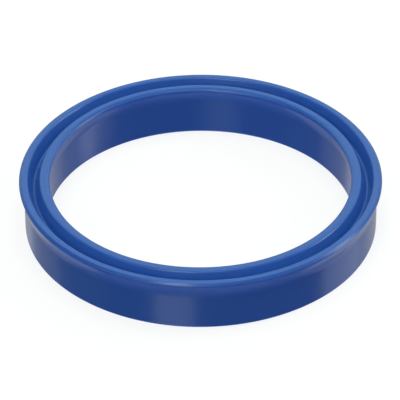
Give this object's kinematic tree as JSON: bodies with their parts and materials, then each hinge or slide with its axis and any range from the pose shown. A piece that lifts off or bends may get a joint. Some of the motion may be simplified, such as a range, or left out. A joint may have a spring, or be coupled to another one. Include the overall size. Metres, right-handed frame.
{
  "type": "rod seal",
  "caption": "Blue polyurethane U-cup rod seal: a flat-heeled ring with flared inner and outer lips and a V groove between them, which seals a hydraulic rod in its housing.",
  "frame": {"origin": "centre of the flat heel face that the ring rests on", "axes": "+Z along the ring's axis, from the heel to the lips; the ring is the same all the way round"},
  "size_m": [0.0822, 0.0822, 0.0127],
  "materials": {
    "polyurethane": "moulded polyurethane elastomer, semi-gloss, slightly translucent blue"
  },
  "bodies": {
    "root": {"seal_ring": "polyurethane"}
  },
  "joints": []
}
